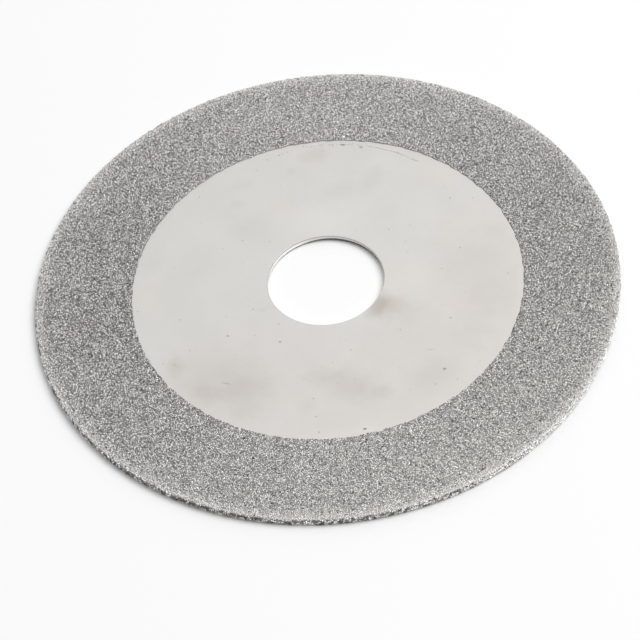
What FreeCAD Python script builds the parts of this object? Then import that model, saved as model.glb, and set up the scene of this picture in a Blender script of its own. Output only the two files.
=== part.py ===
import FreeCAD, Part
import math
import os

# Diamond-coated grinding disc, lying flat.
# A round steel blank with an arbor bore carries a band of diamond grit, plated on in nickel,
# that covers the outer part of both faces and wraps round the rim in one piece.
# The frame's origin is the centre of the bore on the disc's mid-plane, and +Z is the bore's axis.
# All sizes are in millimetres.

# Overall sizes
disc_diameter = 100.0       # over the grain tips of the rim
bore_diameter = 20.0
blank_thickness = 1.0

# Plated band
coat_thickness = 0.25       # nickel and grains together, the same on both faces and on the rim
bare_diameter = 66.8        # bare steel inside the band, where the mask lay during plating
mask_shift_x = 0.16         # the mask lay a little off the bore's axis, so the band is wider on one side
mask_shift_y = -0.58
band_step = 0.12            # slope at the band's inner edge, where it ends on the bare steel

# Edges of the steel blank
rim_chamfer = 0.2           # under the coat, so that the plating wraps round without a thin corner
bore_edge_break = 0.1       # deburred mouth of the bore
edge_limit = 0.45           # largest share of a wall that the break of its edge may take

# Sizes that follow
bore_radius = bore_diameter / 2
disc_radius = disc_diameter / 2
blank_radius = disc_radius - coat_thickness
bare_radius = bare_diameter / 2
steel_top = blank_thickness / 2
grit_top = steel_top + coat_thickness
rim_break = min(rim_chamfer, edge_limit * blank_thickness)
coat_corner = rim_break + coat_thickness
step_break = min(band_step, edge_limit * coat_thickness)
mouth_break = min(bore_edge_break, edge_limit * blank_thickness)
diagonal = math.sqrt(0.5)


def section_point(radius, height):
    """Return the point of the half section at this radius from the axis and this height."""
    return FreeCAD.Vector(radius, 0, height)


def line(start, end):
    """Return the straight edge between two (radius, height) pairs."""
    return Part.makeLine(section_point(*start), section_point(*end))


def round_corner(centre, radius, upward):
    """Return the quarter arc about centre that bulges away from the axis, and up (1) or down (-1)."""
    reach, height = centre
    beside = section_point(reach + radius, height)
    middle = section_point(reach + radius * diagonal, height + upward * radius * diagonal)
    level = section_point(reach, height + upward * radius)
    return Part.Arc(beside, middle, level).toShape()


def turned(edges):
    """Return the solid that the closed half section makes in one turn about the axis."""
    wire = Part.Wire(Part.sortEdges(edges)[0])
    section = Part.Face(wire)
    return section.revolve(FreeCAD.Vector(0, 0, 0), FreeCAD.Vector(0, 0, 1), 360)


def along_mask(shape):
    """Return the shape moved from the bore's axis to the place where the mask lay."""
    return shape.translated(FreeCAD.Vector(mask_shift_x, mask_shift_y, 0))


def blank_rim_edges():
    """Return the edges of the blank's rim, which are the coat's seat on it too."""
    land_end = blank_radius - rim_break
    wall_end = steel_top - rim_break
    return [
        line((land_end, steel_top), (blank_radius, wall_end)),
        line((blank_radius, wall_end), (blank_radius, -wall_end)),
        line((blank_radius, -wall_end), (land_end, -steel_top)),
    ]


def steel_blank():
    """Return the flat steel blank, with a broken edge at each mouth of its bore.

    Each face is in two parts that meet at the coat's edge: the bare field that a flange clamps,
    and the land that the coat is plated on.
    """
    field_start = bore_radius + mouth_break
    land_end = blank_radius - rim_break
    wall_end = steel_top - mouth_break
    edges = blank_rim_edges()
    edges.append(line((bore_radius, -wall_end), (bore_radius, wall_end)))
    for side in (1, -1):
        edges.append(line((bore_radius, side * wall_end), (field_start, side * steel_top)))
        edges.append(line((field_start, side * steel_top), (land_end, side * steel_top)))
    blank = turned(edges)
    field = along_mask(Part.makeCylinder(bare_radius, blank_thickness, section_point(0, -steel_top)))
    return blank.common(field).fuse(blank.cut(field)).Solids[0]


def masked_off(side):
    """Return the space that the mask kept free of plating on the upper (1) or lower (-1) face."""
    step_height = grit_top - step_break
    step_end = bare_radius + step_break
    edges = [
        line((0, side * steel_top), (bare_radius, side * steel_top)),
        line((bare_radius, side * steel_top), (bare_radius, side * step_height)),
        line((bare_radius, side * step_height), (step_end, side * grit_top)),
        line((step_end, side * grit_top), (0, side * grit_top)),
        line((0, side * grit_top), (0, side * steel_top)),
    ]
    return along_mask(turned(edges))


def diamond_coat():
    """Return the plated band: one shell over both faces and the rim, less what the mask kept bare."""
    land_end = blank_radius - rim_break
    flat_end = disc_radius - coat_corner
    corner_height = grit_top - coat_corner
    edges = blank_rim_edges()
    edges.append(line((disc_radius, corner_height), (disc_radius, -corner_height)))
    for side in (1, -1):
        edges.append(line((land_end, side * steel_top), (bore_radius, side * steel_top)))
        edges.append(line((bore_radius, side * steel_top), (bore_radius, side * grit_top)))
        edges.append(line((bore_radius, side * grit_top), (flat_end, side * grit_top)))
        edges.append(round_corner((flat_end, side * corner_height), coat_corner, side))
    return turned(edges).cut([masked_off(1), masked_off(-1)]).Solids[0]


def main():
    """Build each piece and write it to its own file."""
    os.makedirs("parts", exist_ok=True)
    pieces = {
        "steel_blank": steel_blank(),
        "diamond_coat": diamond_coat(),
    }
    for name, shape in pieces.items():
        shape.exportStep(f"parts/{name}.step")
        print(name, "valid", shape.isValid(), "volume mm3", round(shape.Volume, 3))


main()
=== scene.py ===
"""Looks of a flat diamond-coated grinding disc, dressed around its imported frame.

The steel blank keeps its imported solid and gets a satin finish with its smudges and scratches. The
diamond coat is rebuilt as what it is: a skin of plated nickel, and on it the diamond grains one by
one, over both faces and round the rim. Meshes are built in metres, where MM is one millimetre. The
finishes work in millimetres, because their patterns read the place that way.
"""

import logging
import math
import random
from dataclasses import dataclass
from enum import Enum
from typing import Any, Optional, Sequence, Union

import bmesh
import bpy
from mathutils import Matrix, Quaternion, Vector


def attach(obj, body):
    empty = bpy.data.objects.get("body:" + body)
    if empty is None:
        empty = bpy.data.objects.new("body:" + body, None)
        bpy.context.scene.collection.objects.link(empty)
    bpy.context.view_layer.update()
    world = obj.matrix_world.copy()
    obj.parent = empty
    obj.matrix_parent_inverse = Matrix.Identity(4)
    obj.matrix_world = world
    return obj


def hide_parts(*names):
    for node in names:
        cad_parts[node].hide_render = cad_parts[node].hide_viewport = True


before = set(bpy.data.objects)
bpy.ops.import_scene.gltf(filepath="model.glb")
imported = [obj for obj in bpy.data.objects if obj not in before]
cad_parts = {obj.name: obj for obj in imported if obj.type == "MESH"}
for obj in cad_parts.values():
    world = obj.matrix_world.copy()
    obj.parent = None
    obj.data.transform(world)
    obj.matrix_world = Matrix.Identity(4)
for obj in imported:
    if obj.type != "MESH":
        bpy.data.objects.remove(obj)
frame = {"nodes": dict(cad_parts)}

LOG = logging.getLogger("grinding_disc")
MM = 0.001
PER_MM = 1000.0
LEVEL_SLACK = 0.01 * MM
COAT_FOOT_SHARE = 0.75
ABOUT_AXIS = 0.0
ABOUT_MASK = 1.0
UPRIGHT = 90.0
BODY = "root"
STEEL_NODE = "steel_blank"
COAT_NODE = "diamond_coat"
TONE = "grain_tone"
TINT = "grain_tint"
TURN = "grain_turn"
FACET = "facet_tone"
BAKE_MAP = "OFBake"
NUMBER = "NodeSocketFloat"
WHOLE = "NodeSocketInt"
VECTOR = "NodeSocketVector"

Colour = tuple[float, float, float]
Ring = tuple[float, float, float]
Socket = bpy.types.NodeSocket
Node = bpy.types.Node
Tree = bpy.types.NodeTree
Material = bpy.types.Material
Piece = bpy.types.Object
Feed = Union[float, int, bool, Sequence[float], Socket, bpy.types.ID]


class Zone(Enum):
    """The three beds that the grains are plated on."""

    UPPER_FACE = "upper_grains"
    LOWER_FACE = "lower_grains"
    RIM = "rim_grains"


class Draw(Enum):
    """What is drawn by lot for the grains, with the number that moves its seed."""

    SPIN = 1
    KIND = 2
    SIZE = 3
    TONE = 4
    TINT = 5
    FACET = 6


def placed(name: str, data: bpy.types.ID) -> Piece:
    """Put a new object into the scene.

    Args:
        name: the object's name.
        data: its mesh, lamp or camera.

    Returns:
        The object.
    """
    piece = bpy.data.objects.new(name, data)
    bpy.context.scene.collection.objects.link(piece)
    return piece


@dataclass
class NodeSheet:
    """A node tree while it is being wired, for shaders, groups and geometry alike."""

    tree: Tree

    @classmethod
    def group(cls, name: str, kind: str, inputs: dict[str, str], outputs: dict[str, str]) -> "NodeSheet":
        """Make a node group with its named sockets.

        Args:
            name: the group's name.
            kind: the type of its tree.
            inputs: socket types by input name.
            outputs: socket types by output name.

        Returns:
            The sheet that the group is wired on.
        """
        tree = bpy.data.node_groups.new(name, kind)
        for way, sockets in (("INPUT", inputs), ("OUTPUT", outputs)):
            for socket, socket_type in sockets.items():
                tree.interface.new_socket(name=socket, in_out=way, socket_type=socket_type)
        return cls(tree)

    def feed(self, socket: Socket, value: Feed) -> None:
        """Link a socket to another, or set its own value.

        Args:
            socket: the input to fill.
            value: an output socket to link, or a plain value, which for a colour is red, green and blue.
        """
        if isinstance(value, Socket):
            self.tree.links.new(value, socket)
        elif socket.type == "RGBA":
            socket.default_value = (*value, 1.0)
        else:
            socket.default_value = value

    def add(self, kind: str, inputs: Optional[dict[Any, Feed]] = None, **settings: Any) -> Node:
        """Add a node.

        Args:
            kind: the node's type name.
            inputs: what goes into its sockets, by socket name or number.
            settings: the node's own settings.

        Returns:
            The new node.
        """
        node = self.tree.nodes.new(kind)
        for name, value in settings.items():
            setattr(node, name, value)
        for key, value in (inputs or {}).items():
            self.feed(node.inputs[key], value)
        return node

    def math(self, operation: str, *values: Feed, clamp: bool = False) -> Socket:
        """Return the output of a Math node on the given values."""
        node = self.add("ShaderNodeMath", dict(enumerate(values)), operation=operation, use_clamp=clamp)
        return node.outputs[0]

    def plus(self, first: Feed, second: Feed) -> Socket:
        """Return the sum of two numbers."""
        return self.math("ADD", first, second)

    def minus(self, first: Feed, second: Feed) -> Socket:
        """Return the first number less the second."""
        return self.math("SUBTRACT", first, second)

    def times(self, first: Feed, second: Feed) -> Socket:
        """Return the product of two numbers."""
        return self.math("MULTIPLY", first, second)

    def over(self, first: Feed, second: Feed) -> Socket:
        """Return the first number divided by the second."""
        return self.math("DIVIDE", first, second)

    def linear(self, value: Feed, slope: Feed, start: Feed) -> Socket:
        """Return the value times a slope, plus a start."""
        return self.math("MULTIPLY_ADD", value, slope, start)

    def vector(self, operation: str, *values: Feed) -> Socket:
        """Return the output of a Vector Math node, which is a number for lengths and products."""
        node = self.add("ShaderNodeVectorMath", dict(enumerate(values)), operation=operation)
        return node.outputs["Value" if operation in ("LENGTH", "DOT_PRODUCT") else "Vector"]

    def scaled(self, vector: Feed, factor: float) -> Socket:
        """Return the vector times a plain number."""
        node = self.add("ShaderNodeVectorMath", {0: vector, "Scale": factor}, operation="SCALE")
        return node.outputs["Vector"]

    def turned(self, vector: Feed, angle: Feed) -> Socket:
        """Return the vector turned about the Z axis."""
        inputs = {"Vector": vector, "Angle": angle}
        return self.add("ShaderNodeVectorRotate", inputs, rotation_type="Z_AXIS").outputs[0]

    def parts(self, vector: Feed) -> tuple[Socket, ...]:
        """Return the X, Y and Z of a vector."""
        return tuple(self.add("ShaderNodeSeparateXYZ", {0: vector}).outputs)

    def joined(self, x: Feed, y: Feed, z: Feed = 0.0) -> Socket:
        """Return a vector made of three numbers."""
        return self.add("ShaderNodeCombineXYZ", {0: x, 1: y, 2: z}).outputs[0]

    def reach(self, x: Feed, y: Feed) -> Socket:
        """Return how far a flat place lies from the origin."""
        return self.vector("LENGTH", self.joined(x, y))

    def rise(self, value: Feed, start: Feed, end: Feed, low: Feed = 0.0, high: Feed = 1.0) -> Socket:
        """Return a smooth step of a value.

        Args:
            value: the number that is looked at.
            start: where the step starts.
            end: where the step is over.
            low: the result at the start.
            high: the result at the end.

        Returns:
            The stepped number.
        """
        sockets = {"Value": value, "From Min": start, "From Max": end, "To Min": low, "To Max": high}
        return self.add("ShaderNodeMapRange", sockets, interpolation_type="SMOOTHSTEP").outputs[0]

    def blend(self, factor: Feed, first: Feed, second: Feed, way: str = "MIX") -> Socket:
        """Return a colour between two others, or their product and the like, by a factor."""
        node = self.add("ShaderNodeMix", {0: factor, 6: first, 7: second}, data_type="RGBA", blend_type=way)
        return node.outputs[2]

    def mixed(self, factor: Feed, first: Feed, second: Feed) -> Socket:
        """Return a number between two others, by a factor."""
        return self.add("ShaderNodeMix", {0: factor, 2: first, 3: second}, data_type="FLOAT").outputs[0]

    def noise(self, place: Feed, scale: Feed, detail: float = 2.0, roughness: float = 0.5) -> Socket:
        """Return a noise about 0.5 that changes with the place."""
        sockets = {"Vector": place, "Scale": scale, "Detail": detail, "Roughness": roughness}
        return self.add("ShaderNodeTexNoise", sockets).outputs["Fac"]

    def shaken(self, place: Feed, scale: float, depth: float) -> Socket:
        """Move the place about by a noise of its own.

        Args:
            place: the place.
            scale: how close the noise is.
            depth: twice the most that it moves the place by.

        Returns:
            The moved place.
        """
        noise = self.add("ShaderNodeTexNoise", {"Vector": place, "Scale": scale})
        away = self.vector("SUBTRACT", noise.outputs["Color"], (0.5, 0.5, 0.5))
        return self.vector("ADD", place, self.scaled(away, depth))

    def cells(self, place: Feed, spacing: float) -> tuple[Socket, Socket, Socket]:
        """Return how far the nearest of some scattered points is, and two random numbers of that point.

        Args:
            place: the flat place.
            spacing: how far apart the points are.

        Returns:
            The distance, as a share of the spacing, and the two numbers.
        """
        inputs = {"Vector": place, "Scale": 1.0 / spacing}
        node = self.add("ShaderNodeTexVoronoi", inputs, voronoi_dimensions="2D")
        chance, size, _ = self.parts(node.outputs["Color"])
        return node.outputs["Distance"], chance, size

    def number(self, name: str) -> Socket:
        """Return a number that is stored on the mesh."""
        return self.add("ShaderNodeAttribute", attribute_name=name).outputs["Fac"]

    def place_in_mm(self) -> Socket:
        """Return the place on the object, in millimetres."""
        return self.scaled(self.add("ShaderNodeTexCoord").outputs["Object"], PER_MM)

    def seen(self) -> Socket:
        """Return 1 for a ray that shows the surface directly, in a mirror or through glass."""
        path = self.add("ShaderNodeLightPath").outputs
        indirect = self.math("MAXIMUM", path["Is Glossy Ray"], path["Is Transmission Ray"])
        return self.math("MAXIMUM", path["Is Camera Ray"], indirect)

    def bump(self, shader: Node, strength: float, depth: float, height: Feed) -> None:
        """Make the shader's surface uneven, by a height with its depth in millimetres."""
        inputs = {"Strength": strength, "Distance": depth * MM, "Height": height}
        self.feed(shader.inputs["Normal"], self.add("ShaderNodeBump", inputs).outputs[0])


@dataclass(frozen=True)
class Finish:
    """A material with one shader."""

    name: str = "finish"

    def started(self) -> tuple[Material, NodeSheet, Node]:
        """Return a new material, the sheet that it is wired on, and its shader."""
        material = bpy.data.materials.new(self.name)
        material.use_nodes = True
        sheet = NodeSheet(material.node_tree)
        return material, sheet, sheet.tree.nodes["Principled BSDF"]


@dataclass(frozen=True)
class DiscSizes:
    """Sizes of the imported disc, in metres, read from its frame."""

    disc_radius: float
    bore_radius: float
    bare_radius: float
    mask_x: float
    mask_y: float
    steel_top: float
    grit_top: float
    corner: float

    @classmethod
    def from_frame(cls, nodes: dict[str, Piece]) -> "DiscSizes":
        """Read the sizes.

        Args:
            nodes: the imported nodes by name.

        Returns:
            The sizes of this disc.
        """
        coat = [v.co.copy() for v in nodes[COAT_NODE].data.vertices]
        steel = [v.co.copy() for v in nodes[STEEL_NODE].data.vertices]
        disc_radius = max(p.xy.length for p in coat)
        grit_top = max(p.z for p in coat)
        steel_top = max(p.z for p in steel)
        bore_radius = min(p.xy.length for p in steel)
        foot_limit = bore_radius + COAT_FOOT_SHARE * (disc_radius - bore_radius)
        foot = [p for p in coat if abs(p.z - steel_top) < LEVEL_SLACK and p.xy.length < foot_limit]
        flat_end = max(p.xy.length for p in coat if abs(p.z - grit_top) < LEVEL_SLACK)
        left, right = min(p.x for p in foot), max(p.x for p in foot)
        near, far = min(p.y for p in foot), max(p.y for p in foot)
        return cls(
            disc_radius=disc_radius,
            bore_radius=bore_radius,
            bare_radius=(right - left) / 2.0,
            mask_x=(left + right) / 2.0,
            mask_y=(near + far) / 2.0,
            steel_top=steel_top,
            grit_top=grit_top,
            corner=disc_radius - flat_end,
        )

    @property
    def coat(self) -> float:
        """Return the thickness of the plated coat."""
        return self.grit_top - self.steel_top


@dataclass
class EffectGroup:
    """A shader node group that finishes place with their own values."""

    name: str

    def open(self, inputs: dict[str, str], outputs: Sequence[str]) -> NodeSheet:
        """Return the group's new sheet, with inputs by socket type and outputs that are numbers."""
        numbers = {name: NUMBER for name in outputs}
        return NodeSheet.group(self.name, "ShaderNodeTree", inputs, numbers)

    def use(self, sheet: NodeSheet, inputs: dict[str, Feed]) -> Node:
        """Place the group on a finish's sheet, building it the first time.

        Args:
            sheet: the finish's sheet.
            inputs: what goes into the group's sockets, by name.

        Returns:
            The group's node.
        """
        tree = bpy.data.node_groups.get(self.name) or self.build()
        return sheet.add("ShaderNodeGroup", inputs, node_tree=tree)

    def build(self) -> Tree:
        """Wire the group and return its tree."""
        raise NotImplementedError


class SoftSpot(EffectGroup):
    """A mask that fades out from a centre, as a smudge, a stain or a scratch does."""

    warp_scale = 0.35
    core = 0.15

    def build(self) -> Tree:
        """Wire the mask and return its tree."""
        inputs = {"Place": VECTOR, "Centre": VECTOR, "Reach": VECTOR, "Turn": NUMBER, "Raggedness": NUMBER}
        sheet = self.open(inputs, ["Mask"])
        given = sheet.add("NodeGroupInput").outputs
        away = sheet.vector("SUBTRACT", given["Place"], given["Centre"])
        shares = sheet.vector("DIVIDE", sheet.turned(away, given["Turn"]), given["Reach"])
        rough = sheet.minus(sheet.noise(given["Place"], self.warp_scale, detail=3.0), 0.5)
        distance = sheet.plus(sheet.vector("LENGTH", shares), sheet.times(rough, given["Raggedness"]))
        sheet.add("NodeGroupOutput", {"Mask": sheet.rise(distance, self.core, 1.0, 1.0, 0.0)})
        return sheet.tree


class SatinGrain(EffectGroup):
    """The fine unevenness of worked or plated metal."""

    wide_scale = 0.12

    def build(self) -> Tree:
        """Wire the unevenness and return its tree."""
        sheet = self.open({"Place": VECTOR, "Fineness": NUMBER}, ["Tone", "Height"])
        given = sheet.add("NodeGroupInput").outputs
        close = sheet.noise(given["Place"], given["Fineness"], detail=4.0)
        wide = sheet.noise(given["Place"], self.wide_scale, detail=3.0)
        tone = sheet.plus(sheet.times(close, 0.5), sheet.times(wide, 0.5))
        sheet.add("NodeGroupOutput", {"Tone": tone, "Height": close})
        return sheet.tree


class BandShade(EffectGroup):
    """The slow changes of tone over the plated band and its lighter lip, with painted light and shade:
    painted shade on the rim wall, less of it on the lamp's side, the band a little lighter towards
    the lamp, and the share of facets painted as glints.

    The widths, the starts and ends of the wall and the middle radius are in millimetres. The other
    values are shares of the tone, and each says what it changes it by.
    """

    lip_width = 2.75
    lip_gain = 0.6
    wall_start = 0.37
    wall_end = 0.05
    # Painted shade on the rim wall, taken back on the side toward the lamp by wall_lit.
    wall_painted_shade = 1.7
    wall_lit = 1.3
    lit_slope = 0.78
    lit_start = 0.34
    # Shares of facets painted as glints, more of them on the rim wall and most on its lamp side.
    glints = 0.08
    wall_glints = 0.07
    lit_glints = 1.1
    fore_and_aft = 0.11
    # Painted light: the band a little lighter towards the lamp.
    lamp_side_painted_light = 0.03
    patchiness = 0.10
    slow_scale = 0.05
    near_scale = 0.30
    middle_radius = 41.0
    outwards = 0.004
    warm_lean = 0.25

    def over(self, sheet: NodeSheet, place: Feed, sizes: DiscSizes) -> Any:
        """Place the group on a finish of the coat.

        Args:
            sheet: the finish's sheet.
            place: the place, in millimetres.
            sizes: the disc's sizes.

        Returns:
            The group's outputs by name.
        """
        lip_end = (sizes.disc_radius - sizes.corner) * PER_MM
        return self.use(sheet, {
            "Place": place,
            "Lip Start": lip_end - self.lip_width,
            "Lip End": lip_end,
            "Rim": sizes.disc_radius * PER_MM,
            "Lip Gain": self.lip_gain,
        }).outputs

    def build(self) -> Tree:
        """Wire the tone and return its tree."""
        inputs = {"Place": VECTOR, "Lip Start": NUMBER, "Lip End": NUMBER, "Rim": NUMBER, "Lip Gain": NUMBER}
        sheet = self.open(inputs, ["Gain", "Warmth", "Wall", "Glints"])
        given = sheet.add("NodeGroupInput").outputs
        x, y, _ = sheet.parts(given["Place"])
        radius = sheet.reach(x, y)
        across = sheet.over(x, radius)
        along = sheet.over(y, radius)
        lip_width = sheet.minus(given["Lip End"], given["Lip Start"])
        lip = sheet.math("DIVIDE", sheet.minus(radius, given["Lip Start"]), lip_width, clamp=True)
        # How far a place faces the lamp, for the painted light and shade below.
        lit = sheet.math("MULTIPLY_ADD", across, self.lit_slope, self.lit_start, clamp=True)
        inset = sheet.minus(given["Rim"], radius)
        wall = sheet.rise(inset, self.wall_end, self.wall_start, 1.0, 0.0)
        # Painted shade on the rim wall, less of it on the side toward the lamp.
        wall_painted_shade = sheet.times(wall, sheet.linear(lit, -self.wall_lit, self.wall_painted_shade))
        # Painted glints: more of them on the rim wall where it faces the lamp.
        wall_glints = sheet.linear(lit, self.lit_glints, self.wall_glints)
        near = sheet.noise(given["Place"], self.near_scale, detail=3.0)
        patches = sheet.minus(sheet.plus(sheet.noise(given["Place"], self.slow_scale), near), 1.0)
        sides = sheet.minus(sheet.times(along, along), sheet.times(across, across))
        gain = sheet.linear(sides, self.fore_and_aft, 1.0)
        # Painted light: lighter towards the lamp.
        gain = sheet.linear(across, self.lamp_side_painted_light, gain)
        gain = sheet.linear(patches, self.patchiness, gain)
        gain = sheet.linear(sheet.minus(radius, self.middle_radius), self.outwards, gain)
        gain = sheet.linear(sheet.minus(sheet.times(lip, lip), wall_painted_shade), given["Lip Gain"], gain)
        sheet.add("NodeGroupOutput", {
            "Gain": gain,
            "Warmth": sheet.linear(sheet.minus(across, along), self.warm_lean, sheet.minus(near, 0.5)),
            "Wall": wall,
            "Glints": sheet.linear(wall, wall_glints, self.glints),
        })
        return sheet.tree


SOFT_SPOT = SoftSpot("soft_spot")
SATIN_GRAIN = SatinGrain("satin_grain")
BAND_SHADE = BandShade("band_shade")


@dataclass(frozen=True)
class SteelMark:
    """A smudge, stain or scratch on the bare steel, or a broad darkening of its tone, in millimetres and
    degrees.
    """

    centre: tuple[float, float]
    reach: tuple[float, float]
    turn: float
    strength: float
    colour: Colour
    raggedness: float = 0.7


PALE: Colour = (0.70, 0.69, 0.66)
BROWN: Colour = (0.42, 0.382, 0.356)
GREY: Colour = (0.45, 0.44, 0.43)
PINK: Colour = (0.60, 0.53, 0.49)
DARK: Colour = (0.16, 0.14, 0.12)

STEEL_MARKS = (
    # The first two marks are the broadest: they darken the face towards the front, the first most at the
    # front right.
    SteelMark((16.0, -21.0), (26.0, 21.0), 35.0, 0.26, BROWN, 0.3),
    SteelMark((-12.0, -22.0), (24.0, 22.0), -25.0, 0.14, BROWN, 0.3),
    SteelMark((-24.0, -2.0), (11.0, 14.0), 0.0, 0.10, GREY, 0.3),
    SteelMark((1.0, 14.0), (13.0, 7.0), 0.0, 0.16, PALE, 0.4),
    SteelMark((9.5, 28.0), (4.0, 4.0), 0.0, 0.16, GREY, 0.4),
    SteelMark((8.3, -7.2), (4.3, 2.7), 51.0, 0.56, BROWN, 0.3),
    SteelMark((9.3, -7.8), (5.2, 4.6), -40.0, 0.36, BROWN, 0.4),
    SteelMark((12.2, -8.8), (6.4, 4.8), -25.0, 0.24, BROWN),
    SteelMark((13.8, -2.5), (6.5, 7.5), 0.0, 0.20, PINK),
    SteelMark((12.0, -1.0), (5.0, 6.0), 0.0, 0.12, GREY),
    SteelMark((-22.5, -21.0), (4.8, 3.2), -35.0, 0.28, BROWN),
    SteelMark((-19.5, -19.5), (13.0, 9.5), -25.0, 0.36, BROWN, 0.3),
    SteelMark((-14.5, -21.5), (7.5, 6.0), 0.0, 0.20, BROWN),
    SteelMark((-26.5, -14.8), (2.4, 3.2), 0.0, 0.34, BROWN),
    SteelMark((-16.5, -26.0), (5.0, 3.0), 0.0, 0.20, BROWN),
    SteelMark((1.2, -23.4), (8.2, 5.4), -25.0, 0.36, BROWN, 0.4),
    SteelMark((-3.0, -20.5), (4.6, 2.5), 0.0, 0.16, BROWN),
    SteelMark((6.0, -25.6), (5.0, 2.4), -8.0, 0.24, BROWN),
    SteelMark((1.0, 29.5), (4.2, 2.9), 0.0, 0.28, BROWN),
    SteelMark((10.3, 21.7), (5.4, 2.8), 59.0, 0.32, GREY, 0.4),
    SteelMark((5.3, 20.0), (5.0, 3.0), 0.0, 0.18, GREY),
    SteelMark((-3.4, 26.2), (1.4, 1.4), 0.0, 0.22, GREY),
    SteelMark((-12.2, 14.2), (5.4, 4.0), 20.0, 0.24, GREY, 0.4),
    SteelMark((-5.4, 18.2), (3.0, 2.4), 0.0, 0.22, PINK),
    SteelMark((-12.5, 24.4), (3.4, 2.2), 0.0, 0.18, GREY),
    SteelMark((-13.7, 20.2), (1.9, 1.3), 0.0, 0.20, GREY),
    SteelMark((12.4, 14.0), (3.2, 3.0), 0.0, 0.10, GREY),
    SteelMark((26.5, -3.0), (11.0, 20.0), 0.0, 0.34, BROWN, 0.3),
    SteelMark((25.5, 7.0), (7.0, 6.0), 0.0, 0.16, PINK),
    SteelMark((29.8, 5.6), (3.0, 3.0), 0.0, 0.14, BROWN),
    SteelMark((21.8, -9.0), (6.0, 7.0), 0.0, 0.14, PINK),
    SteelMark((22.0, -17.0), (5.0, 6.0), 0.0, 0.14, BROWN),
    SteelMark((15.5, -23.5), (8.0, 5.0), 30.0, 0.28, BROWN, 0.4),
    SteelMark((21.8, 21.5), (6.0, 3.6), -45.0, 0.18, PINK),
    SteelMark((-29.3, 9.2), (3.0, 5.0), -20.0, 0.14, GREY),
    SteelMark((-30.0, 1.0), (2.6, 5.5), 0.0, 0.22, PINK),
    SteelMark((-5.6, -26.6), (2.6, 2.0), 0.0, 0.14, BROWN),
    SteelMark((0.0, -30.0), (14.0, 4.5), 0.0, 0.14, BROWN, 0.3),
    SteelMark((-11.3, -4.9), (1.2, 0.9), 0.0, 0.20, GREY),
    SteelMark((-17.5, -9.6), (0.35, 0.25), 0.0, 0.60, DARK),
    SteelMark((-8.9, -12.4), (0.35, 0.25), 0.0, 0.60, DARK),
    SteelMark((17.4, -22.7), (0.5, 0.4), 0.0, 0.55, DARK),
    SteelMark((3.1, -32.8), (0.5, 0.35), 0.0, 0.85, DARK),
    SteelMark((6.2, 31.15), (0.7, 0.22), -20.0, 1.0, DARK, 0.2),
    SteelMark((9.4, 30.0), (0.6, 0.5), 0.0, 0.45, DARK),
    SteelMark((15.6, -18.3), (1.3, 0.08), 3.0, 0.40, DARK, 0.2),
    SteelMark((-18.5, -19.7), (1.2, 0.12), -25.0, 0.45, DARK, 0.2),
    SteelMark((-26.7, -14.4), (1.0, 0.10), -40.0, 0.35, DARK, 0.2),
)


@dataclass(frozen=True)
class Pits:
    """Small dark specks, scattered over the bare face."""

    spacing: float = 4.0
    reach: float = 0.17
    least: float = 0.4
    core: float = 0.4
    ragged_scale: float = 4.0
    raggedness: float = 0.6
    rarity: float = 0.25
    darkness: float = 0.5

    def mask(self, sheet: NodeSheet, flat_place: Feed) -> Socket:
        """Return how dark the specks are at a flat place.

        Args:
            sheet: the finish's sheet.
            flat_place: the place without its height.

        Returns:
            The mask, from 0 to 1.
        """
        place = sheet.shaken(flat_place, self.ragged_scale, self.raggedness)
        distance, chance, size = sheet.cells(place, self.spacing)
        share = self.reach / self.spacing
        edge = sheet.linear(size, share, self.least * share)
        depth = sheet.rise(chance, self.rarity, 1.0, 0.0, self.darkness)
        return sheet.rise(distance, sheet.times(edge, self.core), edge, depth, 0.0)


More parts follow.
